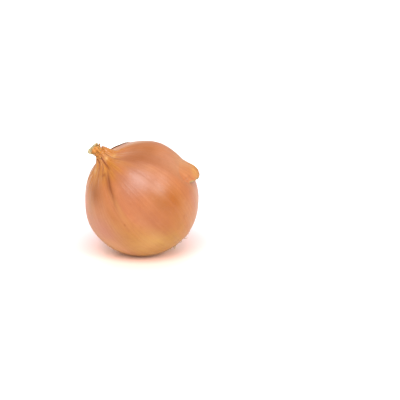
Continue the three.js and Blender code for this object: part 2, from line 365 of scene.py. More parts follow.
def skin_finish(tree):
    """Colour, roughness and bump of dry onion skin. It is copper with darker veins, and where the mesh is
    marked so it turns to gold, pinks, amber, dark browns, the neck's ochre, pale straw or the brown of a
    fold. Part of this is painted light and shade: a pink tone under the front highlights, paler pink where
    light falls on the left, darker browns where the onion is shaded, on its top and in its pleats, and gold
    for light bounced off the table. It is clouded over 18 mm, mottled over 4 mm, and duller in its folds.
    The pimples of its dried cells are 1.2 mm across, coarser than the real 0.3 mm so that they show in the
    gloss."""
    place = add(tree, "TexCoord", output="Object")
    clouds = add(tree, "TexNoise", {"Vector": place, "Scale": 1 / (18 * MM), "Detail": 3.0})
    mottles = add(tree, "TexNoise", {
        "Vector": place, "Scale": 1 / (4 * MM), "Detail": 3.0, "Roughness": 0.6})
    pimples = add(tree, "TexNoise", {"Vector": place, "Scale": 1 / (1.2 * MM), "Detail": 1.0})
    broad = streaks(tree, around=26, along=0.55, detail=3.0, seed=0.0)
    bands = streaks(tree, around=BANDS, along=0.9, detail=2.0, seed=7.0)
    fibres = streaks(tree, around=FIBRES, along=3.0, detail=2.0, seed=3.0)
    scuffs = streaks(tree, around=150, along=7.0, detail=1.0, seed=5.0)
    marks = {name: add(tree, "Attribute", output="Fac", attribute_name=name) for name in SKIN_MARKS}
    pale_bands, dark_fibres, mottled, worn = [
        add(tree, "MapRange", {"Value": value, "From Min": low, "From Max": high},
            interpolation_type="SMOOTHSTEP")
        for value, low, high in ((bands, 0.50, 0.72), (fibres, 0.50, 0.70), (mottles, 0.46, 0.66),
                                 (scuffs, 0.66, 0.76))]

    cloudy = add(tree, "Mix", {0: 0.5, 2: clouds, 3: broad}, data_type="FLOAT")
    copper, gold, ochre = [
        add(tree, "ValToRGB", {"Fac": value}, stops=stops) for value, stops in (
            (cloudy, [(0.38, "#98572C"), (0.50, "#9D5D30"), (0.62, "#A06438")]),
            (broad, [(0.32, "#9B7122"), (0.55, "#9F792B"), (0.72, "#A58236")]),
            (bands, [(0.30, "#90500C"), (0.50, "#9D601A"), (0.70, "#A7702E")]))]
    colour = layered(tree, copper, [
        # Partly painted light: towards the table, gold stands for light bounced off it.
        (marks["gold"], 1.0, gold),
        # Partly a painted highlight tone: pinker, darker skin under the front highlights tones them pink.
        (marks["rose_and_painted_highlight"], 1.0, "#8B543D"),
        # Partly painted light: paler pink on the left side and at the second highlight.
        (marks["blush_and_painted_light"], 1.0, "#9F694E"),
        # Partly painted shade: the deep orange on the front right is shade and warm reflected light of a
        # thing beside the onion.
        (marks["amber"], 1.0, "#8A4800"),
        # Painted shade: dark brown on the front, where a thing beside the onion shades it.
        (marks["painted_shade"], 1.0, "#744622"),
        (marks["neck"], 1.0, ochre),
        (pale_bands, 0.08, "#B37652"),
        (dark_fibres, 0.10, "#83461D"),
        (mottled, 0.14, "#7E4420"),
        (marks["vein"], 0.15, "#783E17"),
        (worn, 0.07, "#BC8D64"),
        # Partly painted shade: dark tan on the top and beside the neck on the left. The small tan spots are
        # real.
        (marks["tan_and_shade"], 1.0, "#7C4000"),
        (marks["straw"], 1.0, "#C5A16A"),
        # Partly painted shade: this brown also darkens the valleys of the neck's pleats.
        (marks["fold"], 1.0, "#723600"),
    ])
    satin = add(tree, "MapRange", {
        "Value": bands, "From Min": 0.3, "From Max": 0.7, "To Min": 0.34, "To Max": 0.42})
    roughness = add(tree, "Math", {0: marks["fold"], 1: 0.4, 2: satin}, operation="MULTIPLY_ADD")
    height = add(tree, "Mix", {0: 0.6, 2: fibres, 3: pimples}, data_type="FLOAT")
    bump = add(tree, "Bump", {"Height": height, "Strength": 0.8, "Distance": 0.14 * MM})
    return colour, roughness, bump


def onion_skin():
    """Cured outer scale of a yellow onion, dried tight over the bulb: it gives a soft satin sheen, with a
    fine grain in the highlights, over copper that is darker along the veins."""
    material, tree = new_material("cured_onion_skin")
    colour, roughness, bump = skin_finish(tree)
    skin = add(tree, "BsdfPrincipled", {
        "Base Color": colour, "Roughness": roughness, "IOR": SKIN_IOR, "Normal": bump})
    add(tree, "OutputMaterial", {"Surface": skin})
    return material


def torn_onion_skin():
    """The same scale where it is torn and has dried off the bulb: it is thin enough for light to come
    through it in amber, and its torn edges have dried to an olive brown. Where it stands off the bulb its
    surface colour is also turned to amber, partly for the paler loose skin and partly as painted light that
    comes through it."""
    material, tree = new_material("torn_onion_skin")
    colour, roughness, bump = skin_finish(tree)
    loose, edge = [add(tree, "Attribute", output="Fac", attribute_name=name) for name in ("loose", "edge")]
    bands = streaks(tree, around=BANDS, along=0.9, detail=2.0, seed=7.0)
    amber = add(tree, "ValToRGB", {"Fac": bands},
                stops=[(0.34, "#D49A54"), (0.52, "#DFA85C"), (0.68, "#E6B268")])
    # Partly painted light: the lifted skin's own colour is turned to the amber of light coming through it.
    shown = layered(tree, colour, [(loose, 0.8, amber), (edge, 1.0, "#8E7642")])
    lit = layered(tree, amber, [(edge, 1.0, "#A38C54")])
    skin = add(tree, "BsdfPrincipled", {
        "Base Color": shown, "Roughness": roughness, "IOR": SKIN_IOR, "Normal": bump})
    glow = add(tree, "BsdfTranslucent", {"Color": lit, "Normal": bump})
    through = add(tree, "Math", {0: loose, 1: 0.6}, operation="MULTIPLY")
    both = add(tree, "MixShader", {0: through, 1: skin, 2: glow})
    add(tree, "OutputMaterial", {"Surface": both})
    return material


def papery_leaf(name, dark, light, torn):
    """Dried leaf base of an onion's neck, cured ochre or bleached: paper-thin, with straight fibres, and
    grey brown at its torn edge. It is nearly matte, and some light comes through it."""
    material, tree = new_material(name)
    bands = streaks(tree, around=BANDS, along=0.9, detail=3.0, seed=7.0)
    fibres = streaks(tree, around=FIBRES, along=3.0, detail=2.0, seed=3.0)
    edge = add(tree, "Attribute", output="Fac", attribute_name="edge")
    dark_fibres = add(tree, "MapRange", {"Value": fibres, "From Min": 0.50, "From Max": 0.70})
    paper = add(tree, "ValToRGB", {"Fac": bands}, stops=[(0.30, dark), (0.70, light)])
    colour = layered(tree, paper, [(dark_fibres, 0.3, dark), (edge, 0.8, torn)])
    roughness = add(tree, "MapRange", {"Value": bands, "To Min": 0.42, "To Max": 0.60})
    bump = add(tree, "Bump", {"Height": fibres, "Strength": 0.4, "Distance": 0.08 * MM})
    skin = add(tree, "BsdfPrincipled", {
        "Base Color": colour, "Roughness": roughness, "IOR": PAPER_IOR, "Normal": bump})
    glow = add(tree, "BsdfTranslucent", {"Color": colour, "Normal": bump})
    both = add(tree, "MixShader", {0: 0.35, 1: skin, 2: glow})
    add(tree, "OutputMaterial", {"Surface": both})
    return material


def dry_root(name, dark, light):
    """Dried onion root, and the corky crown that it grows from: matte, straw to grey brown, rough, and
    darker where a root leaves the crown. Its blotches are about 1 mm across, and each root has a tone of
    its own."""
    material, tree = new_material(name)
    tone, shade = [add(tree, "Attribute", output="Fac", attribute_name=mark) for mark in ("tone", "shade")]
    place = add(tree, "TexCoord", output="Object")
    blotches = add(tree, "TexNoise", {"Vector": place, "Scale": 1 / (1.1 * MM), "Detail": 3.0})
    straw = add(tree, "ValToRGB", {"Fac": blotches}, stops=[(0.35, dark), (0.62, light)])
    colour = layered(tree, straw, [(tone, 1.0, "#8D7C58"), (shade, 1.0, "#6B431A")])
    roughness = add(tree, "MapRange", {"Value": blotches, "To Min": 0.72, "To Max": 0.88})
    bump = add(tree, "Bump", {"Height": blotches, "Strength": 0.5, "Distance": 0.15 * MM})
    root = add(tree, "BsdfPrincipled", {
        "Base Color": colour, "Roughness": roughness, "IOR": PAPER_IOR, "Normal": bump})
    add(tree, "OutputMaterial", {"Surface": root})
    return material


# ---------------------------------------- tints and folds of the skin

# Patches of each tint. Each has the azimuth and angle from the neck of its middle in degrees, half its
# width round and along the bulb in millimetres, and how strong it is.
PATCHES = {
    "gold": [(-28, 62, 2.5, 9, 0.3), (-26, 88, 4.5, 12, 0.1), (-22, 122, 14, 12, 0.7),
             (15, 98, 8, 14, 0.35), (120, 110, 9, 16, 0.5), (-150, 70, 5, 14, 0.4), (60, 140, 14, 9, 0.5),
             (-27, 48, 1.6, 7, 0.25)],
    # The first four are painted light, at the second highlight and on the left side.
    "blush_and_painted_light": [(26, 67, 12, 10, 0.5), (-66, 72, 11, 13, 0.75), (-60, 110, 8, 8, 0.4), (-50, 86, 9, 14, 0.4),
              (60, 66, 10, 9, 0.45), (130, 88, 12, 14, 0.4)],
    # The third, on the front right, is painted shade and warm reflected light of a thing beside the onion.
    "amber": [(-21, 28, 2.4, 5, 0.7), (-25, 38, 2.0, 7, 0.7), (17, 90, 11, 13, 0.95), (-4, 106, 7, 9, 0.5),
              (-2, 86, 5, 6, 0.3), (-40, 64, 3, 7, 0.3), (150, 62, 9, 12, 0.4), (-160, 104, 8, 13, 0.35)],
    # Painted shade, from a thing beside the onion.
    "painted_shade": [(-10, 88, 8, 17, 0.35), (8, 84, 6, 9, 0.2)],
    # The first two are painted shade on the top. The third is partly painted shade beside the neck.
    "tan_and_shade": [(62, 45, 14, 7, 0.50), (62, 31, 8, 5, 0.40), (-60, 38, 6, 9, 0.85), (-32, 22.1, 1.2, 0.9, 1.0),
            (-33, 76.9, 0.6, 0.9, 0.8), (18, 112, 0.6, 0.8, 0.6), (150, 80, 10, 12, 0.3),
            (-130, 95, 9, 14, 0.25), (88, 130, 8, 7, 0.2)],
    # The first three are a painted highlight tone, under the front highlights. The others are the skin's own
    # rose.
    "rose_and_painted_highlight": [(6, 53, 12, 10, 0.85), (24, 68, 10, 8, 0.4), (38, 40, 9, 8, 0.5), (-120, 60, 10, 12, 0.5),
             (170, 50, 10, 9, 0.5)],
    "straw": [(-30, 109, 14, 9, 0.26), (-73, 51, 6, 8, 0.15), (-66, 99, 8, 9, 0.32),
              (13, 8.6, 1.3, 1.0, 0.5), (45, 13.7, 1.9, 1.0, 0.3), (-78, 14, 1.5, 1.6, 0.4),
              (70, 84, 9, 7, 0.16), (110, 16, 2.0, 2.4, 0.4), (-170, 12, 1.5, 2.4, 0.5)],
}


def tints(azimuth, from_neck, rough=0.0, drift=0.0):
    """How much of each tint the skin has at each point. Gold grows towards the roots and the table, plus a
    drift; towards the table it is partly painted light, bounced off the table. A patch is a bell curve of
    the distance from its middle, in millimetres on a ball of the bulb's size, with an edge made uneven by
    rough."""
    # Partly painted light: towards the table the gold stands for light bounced off it. Towards the roots it
    # is the skin's own yellowing.
    low = ease(np.cos(azimuth + 75 * DEG) * np.sin(from_neck) - 0.9 * np.cos(from_neck), 0.0, 1.25)
    shares = dict.fromkeys(PATCHES, 0)
    shares["gold"] = 0.85 * low + 0.10 * drift
    for tint, patches in PATCHES.items():
        for middle, angle, around, along, amount in patches:
            east = nearest(azimuth - middle * DEG) * np.sin(angle * DEG) * BELLY_RADIUS / around
            north = (from_neck - angle * DEG) * BELLY_RADIUS / along
            shares[tint] = shares[tint] + amount * np.exp(-(east**2 + north**2) * (1 + 0.35 * rough))
    return {tint: np.clip(share, 0, 1) for tint, share in shares.items()}


# Lines where the skin is folded near the neck. Each has half the widths of its groove and of its darker
# band in millimetres, and its points. A point has its angle from the neck and its azimuth in degrees, the
# depth of the groove and the height by which the skin on the upper side lies over the other in
# millimetres, and how dark the band is.
FOLDS = [
    (0.7, 1.4, [(17, -18, 0, 0, 0), (22, -19.5, 0.1, 0.05, 0.5), (30, -22, 0.3, 0.12, 1),
                (37, -25, 0.3, 0.12, 1), (46, -27, 0.18, 0.1, 0.6), (56, -30, 0.08, 0.05, 0.3),
                (70, -32, 0, 0, 0)]),
    (0.4, 0.8, [(5, -14, 0.1, 0.2, 0.4), (6, -12, 0.3, 0.45, 0.9), (9.3, -11, 0.45, 0.45, 0.9),
                (17.3, -9, 0.25, 0.25, 0.6), (24, -8, 0, 0, 0)]),
    (0.4, 0.8, [(4.6, -65, 0.2, 0.3, 0.5), (5.9, -55, 0.55, 0.45, 1), (7.8, -46, 0.55, 0.45, 1),
                (14.7, -49, 0.2, 0.25, 0.5), (22, -50, 0, 0, 0)]),
    (0.35, 0.7, [(8, -27, 0, 0, 0), (13.7, -29, 0.3, 0.2, 0.7), (20, -34, 0.2, 0.15, 0.4),
                 (30, -37, 0, 0, 0)]),
    (0.4, 0.8, [(5, 36, 0.1, 0.1, 0.2), (8, 34, 0.35, 0.3, 0.6), (14, 30, 0.2, 0.2, 0.3),
                (26, 26, 0, 0, 0)]),
    (0.45, 0.9, [(5, 168, 0.2, 0.3, 0.4), (9, 160, 0.45, 0.5, 0.9), (18, 158, 0.3, 0.35, 0.6),
                 (30, 160, 0, 0, 0)]),
    (0.45, 0.9, [(5, -118, 0.2, 0.3, 0.4), (9, -112, 0.45, 0.45, 0.9), (18, -110, 0.3, 0.25, 0.6),
                 (34, -114, 0, 0, 0)]),
]
FOLD_FADE = 2.2  # millimetres in which a fold's step sinks back to about a third


def fold_pattern(azimuth, radius, from_neck):
    """Relief of the folds in millimetres, and how dark they are from 0 to 1. Across each line the skin
    steps up, then sinks back as an exponential. The groove beside the step and its darker band are bell
    curves of the distance from it."""
    relief, dark = 0, 0
    for groove_width, band_width, points in FOLDS:
        angles, azimuths, *rest = np.array(points, float).T
        line = np.interp(from_neck, angles * DEG, azimuths * DEG)
        groove, step, band_darkness = [np.interp(from_neck, angles * DEG, values, left=0, right=0)
                                 for values in rest]
        away = nearest(azimuth - line) * np.maximum(radius, 1.0)
        sunk = np.exp(-(((away + 0.25) / groove_width) ** 2))
        dark_band = np.exp(-(((away + 0.1) / band_width) ** 2))
        raised = ease(away, -0.15, 0.25) * np.exp(-np.maximum(away, 0) / FOLD_FADE)
        relief = relief + step * raised - groove * sunk
        dark = np.maximum(dark, dark_band * band_darkness)
    return relief, dark


# ---------------------------------------- the bulb with its tight skin

COLUMNS = 552  # round the bulb
ROW_COUNTS = [10, 54, 56, 36, 12, 10]  # in the outline's six curves, of which the last is inside the neck
VEINS, FINE_VEINS = 88, 179  # in a turn
VEIN_WANDER = 0.016  # in radians
# The neck's pleats: half how many in a turn, their share of the height, and their shift.
PLEATS = [(7, 0.35, 0), (12.5, 0.35, 1), (23, 0.30, 2)]
ROOT_PLEATS = 24  # half how many in a turn
PLEAT_LEVEL = 0.6  # of a pleat's height, at which it meets the smooth surface

# Heights in the skin's relief, in millimetres.
SWELL_HEIGHT = 0.20
VEIN_HEIGHT = 0.03
PLEAT_HEIGHT = 0.60
ROOT_PLEAT_HEIGHT = 0.30
WRINKLE_HEIGHT = 0.035
LIP_HEIGHT = 0.3

# How far the neck's ochre reaches, how much further it does on one side and less on the other, and the
# spread of its tongues, all in degrees from the neck.
OCHRE_REACH, OCHRE_SHIFT, OCHRE_TONGUES = 21, 10, 4


def vein_pattern(azimuth, shape):
    """Height of the veins, 0 to 1: narrow crests of a cosine round the bulb, whose spacing wanders, each
    stronger and weaker along its way; and a finer, weaker set between them."""
    wander = VEIN_WANDER * field(shape, 11, 40, 14)
    main = (0.5 + 0.5 * np.cos(VEINS * (azimuth + wander))) ** 3 * ease(field(shape, 12, 45, 3), -1.2, 1.4)
    fine = (0.5 + 0.5 * np.cos(FINE_VEINS * (azimuth + 0.7 * wander))) ** 2
    return np.maximum(main, 0.4 * fine * ease(field(shape, 13, 30, 2), -0.8, 1.6))


def gathering(azimuth, radius, height, from_neck):
    """How far the skin is drawn into pleats: fully at the neck and not at all 40 degrees from it, with less
    at 35 degrees of azimuth and at the neck's tip."""
    share = (1 - ease(from_neck, 8 * DEG, 40 * DEG)) * ease(radius, 0.5, 3)
    share = share * (1 - 0.6 * near(azimuth, 35 * DEG, 45 * DEG) * ease(radius, 3.5, 7))
    return share * (1 - 0.6 * ease(height, 43.5, 45.5))


def pleat_pattern(azimuth, height, shape):
    """Height of the neck's pleats, 0 to 1: sines round the neck with their lower halves turned up, so that
    their valleys are sharp. They wander, twist with the height, and are weaker here and there."""
    folded = azimuth + 0.16 * field(shape, 22, 26, 8) + 0.02 * (height - SHOULDER[1])
    pleats = sum(share * np.abs(np.sin(count * folded + shift)) for count, share, shift in PLEATS)
    return pleats * (0.6 + 0.4 * ease(field(shape, 25, 30, 12), -1, 1))


def bulb_piece(material):
    """The bulb and its neck: the smooth surface moved along its normals by broad swells, veins, pleats
    that gather towards the neck and the roots, folds and fine wrinkles, then leaned and pressed by the
    table. The neck's tint ends in tongues, and the neck's open end has an uneven lip."""
    radius, height = outline(ROW_COUNTS)
    along = length_along(radius, height)
    rows = len(radius)
    shape = (rows, COLUMNS)
    azimuth = np.broadcast_to(np.arange(COLUMNS) * 2 * np.pi / COLUMNS, shape)
    outside = np.broadcast_to((np.arange(rows) <= sum(ROW_COUNTS[:5]))[:, None], shape)
    radius, height = np.broadcast_to(radius[:, None], shape), np.broadcast_to(height[:, None], shape)
    from_neck = np.arctan2(radius, height)

    swells = SWELL_HEIGHT * field(shape, 21, 60, 11) * ease(radius, 4, 16)
    veins = vein_pattern(azimuth, shape) * ease(radius, 3, 10)
    gathered = gathering(azimuth, radius, height, from_neck)
    pleats = pleat_pattern(azimuth, height, shape)
    at_roots = ease(from_neck, 150 * DEG, 168 * DEG) * ease(radius, 1, 8)
    root_pleats = np.abs(np.sin(ROOT_PLEATS * azimuth + 0.8 * field(shape, 23, 8, 10)))
    folds, fold_dark = fold_pattern(azimuth, radius, from_neck)
    folds, fold_dark = folds * outside, fold_dark * outside
    wrinkles = WRINKLE_HEIGHT * field(shape, 24, 5, 2) * ease(radius, 4, 12)
    relief = (swells + VEIN_HEIGHT * veins + PLEAT_HEIGHT * gathered * (pleats - PLEAT_LEVEL)
              + ROOT_PLEAT_HEIGHT * at_roots * (root_pleats - PLEAT_LEVEL)
              + folds + wrinkles * (0.4 + gathered))

    smooth = surface(azimuth, radius, height)
    points = smooth + outward(smooth, wraps=True) * relief[..., None]
    points[..., 2] += ease(height, 45, 46.4) * LIP_HEIGHT * ragged(COLUMNS, 26, 6)
    points = settle(lean(points))

    tongues = OCHRE_TONGUES * DEG * field(shape, 31, 25, 4)
    reach = (OCHRE_REACH + OCHRE_SHIFT * np.cos(azimuth + 66 * DEG)) * DEG
    neck = 1 - ease(from_neck + tongues, reach - 12 * DEG, reach + 9 * DEG)
    rough = field(shape, 33, 14, 5).clip(-2, 2)
    # Painted shade: the fold mark darkens the valleys of the neck's pleats.
    valleys = gathered * ease(0.35 - pleats, 0, 0.35)
    marks = tints(azimuth, from_neck, rough, field(shape, 32, 18, 10))
    marks.update({
        "vein": veins, "neck": neck, "fold": np.clip(0.95 * fold_dark + 0.30 * valleys, 0, 1),
        "meridian": np.stack([np.cos(azimuth), np.sin(azimuth),
                              np.broadcast_to(along[:, None] / BELLY_RADIUS, shape)], -1)})
    marks = {name: with_poles(values) for name, values in marks.items()}
    faces = pole_faces(rows, COLUMNS)
    make_piece("bulb_skin", with_poles(points), faces, material, "bulb", marks)


# ---------------------------------------- torn skins

SKIN_THICKNESS = 0.14  # a little over the real 0.1 mm
LEAF_THICKNESS = 0.16
TABLE_GAP = 0.2  # the least height of a sheet above the table
# A torn skin's chance notches and sway, as shares of its length and width, and its buckling in millimetres.
NOTCHES, SWAY, BUCKLING = 0.035, 0.02, 0.12


def sheet_piece(name, points, azimuth, along, marks, material, node, thickness):
    """A thin sheet from a grid of points in the bulb's frame, with the marks that its material reads. One
    of them is the way along the bulb's meridians. No point comes lower than just above the table."""
    meridian = np.stack(np.broadcast_arrays(np.cos(azimuth), np.sin(azimuth), along / BELLY_RADIUS), -1)
    marks = {mark: np.broadcast_to(values, points.shape[:2]).ravel() for mark, values in marks.items()}
    marks["meridian"] = meridian.reshape(-1, 3)
    points = lean(points)
    points[..., 2] = np.maximum(points[..., 2], TABLE_GAP)
    faces = grid_faces(*points.shape[:2], wraps=False).tolist()
    thicken(make_piece(name, points, faces, material, node, marks), thickness)


def torn_skin(name, node, material, around, along, tear, lift, thin_from, size, seed):
    """A thin flap over part of the bulb, as a grid of azimuths and of lengths from its joined side to its
    torn one. The torn side is shorter by tear(across) and by chance, and its sides wander. lift(across,
    up) is its height off the bulb, to which a slight chance buckling is added. Light starts to come
    through it at the first height of thin_from, and does so fully from the second; over the same heights
    its colour is painted amber, partly for the light that comes through it."""
    rows, columns = size
    across = np.linspace(0, 1, columns)[None, :]
    up = np.linspace(0, 1, rows)[:, None]
    notches = 0.5 * ragged(columns, seed, 9) + 0.25 * ragged(columns, seed + 1, 2.5)
    reach = (1 - tear(across[0]) - NOTCHES * notches)[None, :]
    sway = SWAY * ragged(rows, seed + 2, 6)[:, None] * (1 - 2 * across)
    azimuth = around[0] + (around[1] - around[0]) * (across + sway)
    length = along[0] + (along[1] - along[0]) * up * reach
    smooth = over_bulb(azimuth, length)
    height = lift(across, up)
    buckled = height + BUCKLING * field(size, seed + 3, 9, 5) * ease(up, 0.2, 0.8)
    points = smooth + outward(smooth) * buckled[..., None]
    to_edge = np.minimum(np.minimum(across, 1 - across) * 8 + ease(1.5 - height, 0, 1), (1 - up) * 7)
    edge = (1 - ease(to_edge + 0.12 * field(size, seed + 4, 3, 3), 0.02, 0.5)) * ease(height, 0.1, 0.6)
    from_neck = np.interp(length, FINE_LENGTH, FINE_FROM_NECK)
    veins = (0.5 + 0.5 * np.cos(VEINS * azimuth)) ** 3
    marks = tints(azimuth, from_neck)
    marks.update({"edge": edge, "loose": ease(height, *thin_from), "vein": veins})
    sheet_piece(name, points, azimuth, length, marks, material, node, SKIN_THICKNESS)


def shoulder_skin(material):
    """The outermost skin on the upper back of the shoulder. It is torn off towards the neck, where its edge
    stands up. Its other sides are sunk in the bulb, out of which it grows."""
    def lift(across, up):
        body = 1.13 * ease(up, 0, 0.35) * ease(across, 0, 0.14) * ease(1 - across, 0, 0.14)
        lip = 0.65 * ease(up, 0.55, 1) ** 2 * ease(across, 0.07, 0.17) * ease(1 - across, 0, 0.3)
        return -0.9 + body + lip

    torn_skin(
        "loose_skin_shoulder_torn", "loose_skin_shoulder", material,
        around=(111 * DEG, 208 * DEG),
        along=(length_at_angle(84 * DEG), length_at_angle(27 * DEG)),
        tear=lambda across: 0.26 * (2 * across - 1) ** 2,
        lift=lift, thin_from=(0.2, 1.0), size=(90, 150), seed=41)


def flank_skin(material):
    """The flap on the upper flank. It grows out of the skin on its neck side, swells off the bulb towards
    the roots and ends there in a torn tongue, bent back a little. Its two other sides stay in the bulb."""
    def lift(across, up):
        bulge = 5.3 * ease(across, 0, 0.42) * ease(1 - across, 0, 0.55) * ease(up, 0.1, 0.9)
        return -1.05 + 0.6 * ease(up, 0, 0.2) - 0.6 * ease(up, 0.7, 1.1) + bulge

    torn_skin(
        "loose_skin_flank_torn", "loose_skin_flank", material,
        around=(88 * DEG, 41 * DEG),
        along=(length_at_angle(76 * DEG), length_at_angle(103 * DEG)),
        tear=lambda across: 0.25 * np.abs(2 * across - 0.9) ** 1.6,
        lift=lift, thin_from=(1.8, 4.8), size=(100, 140), seed=51)


# ---------------------------------------- the neck's open end

# Dry leaf bases: four round the neck's open end, four inside it, and two small frills at its waist. Each
# has the middle and width of its arc in degrees, the height where it leaves the bundle and that of its
# torn end, its distance from the bundle's skin, how far its end bends outwards, and its paper: 0 is ochre
# and 1 is bleached.
LEAVES = [
    (-112, 104, 42.5, 48.6, 0.15, 0.8, 1),
    (170, 130, 43, 48.9, 0, 0.1, 1),
    (66, 88, 42.5, 47.2, 0.2, 0.1, 0),
    (-8, 136, 42, 49, 0.3, -0.8, 0),
    (-60, 150, 43.5, 48.6, -1.5, -0.2, 0),
    (120, 190, 43.5, 47.9, -1.2, 0, 0),
    (10, 230, 43.5, 47.8, -1.8, 0, 0),
    (200, 170, 43.5, 48.2, -2, 0, 1),
    (-46, 62, 40.9, 42.8, 0.05, 0.5, 0),
    (-32, 54, 43.9, 45.6, 0.4, 0.45, 0),
]
LEAF_ALONG = 70  # a leaf's height and this are about the length along the bulb's outline there
LEAF_SUNK = 0.9  # how deep an outer leaf's base is in the bundle


def neck_leaf(number, middle, width, base, end, away, bend, material):
    """One dry leaf base: it wraps part of the neck's bundle in waves and ends torn, bent outwards as the
    square of an S curve, with its corners turned out. An outer leaf's base is sunk in the bundle."""
    size = rows, columns = (56, 72)
    across = np.linspace(0, 1, columns)[None, :]
    up = np.linspace(0, 1, rows)[:, None]
    seed = 60 + 7 * number
    torn = (0.22 * ragged(columns, seed, 9) + 0.10 * ragged(columns, seed + 1, 2.2))[None, :]
    torn = torn - 1.2 * np.abs(2 * across - 1) ** 3
    azimuth = middle * DEG + width * DEG * (across - 0.5) * (1 - 0.15 * up**2)
    azimuth = azimuth + 0.05 * ragged(rows, seed + 2, 8)[:, None]
    height = base + (end + torn - base) * up
    radius = np.interp(height, FINE_HEIGHT[FINE_NECK], FINE_RADIUS[FINE_NECK])
    waves = 0.20 * np.sin(7 * azimuth + seed) + 0.10 * np.sin(17 * azimuth + 2 * seed)
    out = away + waves + 0.10 * field(size, seed + 3, 5, 4) + bend * ease(up, 0.35, 1.1) ** 2
    corners = 0.35 * np.abs(2 * across - 1) ** 4 * up
    out = out + corners - LEAF_SUNK * (1 - ease(up, 0, 0.35)) * (away > -0.5)
    points = surface(azimuth, np.maximum(radius + out, 0.15), height)
    to_edge = np.minimum((1 - up) * 5, np.minimum(across, 1 - across) * 8)
    edge = 1 - ease(to_edge + 0.15 * field(size, seed + 4, 2, 2), 0.05, 0.5)
    sheet_piece(f"neck_leaf_{number}", points, azimuth, height + LEAF_ALONG, {"edge": edge}, material,
                "bulb", LEAF_THICKNESS)


# ---------------------------------------- the roots

CROWN_RADIUS = 6.6
CROWN_TOP = ROOT_END[1] + ROOT_HOLLOW - 0.1
CROWN_THICKNESS = 1.9
ROOT_COUNT = 120
ROOT_STEPS, ROOT_SIDES = 18, 7
ROOT_TURN = 137.5 * DEG  # from each root to the next, which spreads them evenly over the crown
ROOT_START = CROWN_TOP - CROWN_THICKNESS + 0.9  # inside the crown
ROOT_LENGTHS = (3.5, 9.5)
ROOT_RADII = (0.20, 0.42)


def collar_skin(number, middle, material):
    """A torn end of the bulb's skins round its roots. Each is a little prouder than the one before."""
    def lift(across, up):
        body = (0.9 + 0.10 * number) * ease(up, 0, 0.5) * ease(across, 0, 0.15) * ease(1 - across, 0, 0.15)
        return -0.8 + body + 0.35 * ease(up, 0.6, 1)

    torn_skin(
        f"root_collar_{number}", "bulb", material,
        around=((middle + 66) * DEG, (middle - 66) * DEG),
        along=(length_at_angle(146 * DEG), length_at_angle(163 * DEG)),
        tear=lambda across: 0.15 * (2 * across - 1) ** 2,
        lift=lift, thin_from=(0.3, 3.0), size=(40, 160), seed=100 + 9 * number)


def root_crown(material):
    """The corky crown of the roots: a round pad whose radius is a power of the sine of the way from its
    bottom to its top, and whose height is a cosine of it, roughened by chance."""
    shape = rows, columns = 40, 96
    share = np.linspace(0, 1, rows)[:, None]
    azimuth = np.arange(columns)[None, :] * 2 * np.pi / columns
    turn = share * np.pi
    rough = (0.20 * field(shape, 91, 1.2, 2.5) + 0.12 * field(shape, 93, 0.8, 0.8)) * np.sin(turn)
    radius = CROWN_RADIUS * np.sin(turn) ** 0.6 + rough
    height = CROWN_TOP - CROWN_THICKNESS / 2 - CROWN_THICKNESS / 2 * np.cos(turn)
    x, y = radius * np.cos(azimuth), radius * np.sin(azimuth)
    points = np.stack(np.broadcast_arrays(x, y, height + rough), -1)
    shade = (0.45 + 0.25 * field(shape, 92, 2, 3)).clip(0, 1)
    marks = {"shade": shade.ravel(), "tone": np.zeros(rows * columns)}
    faces = grid_faces(rows, columns, wraps=True).tolist()
    piece = make_piece("root_crown", lean(points), faces, material, "root_tuft", marks)
    merge = piece.modifiers.new("poles", "WELD")
    merge.merge_threshold = 0.001 * MM


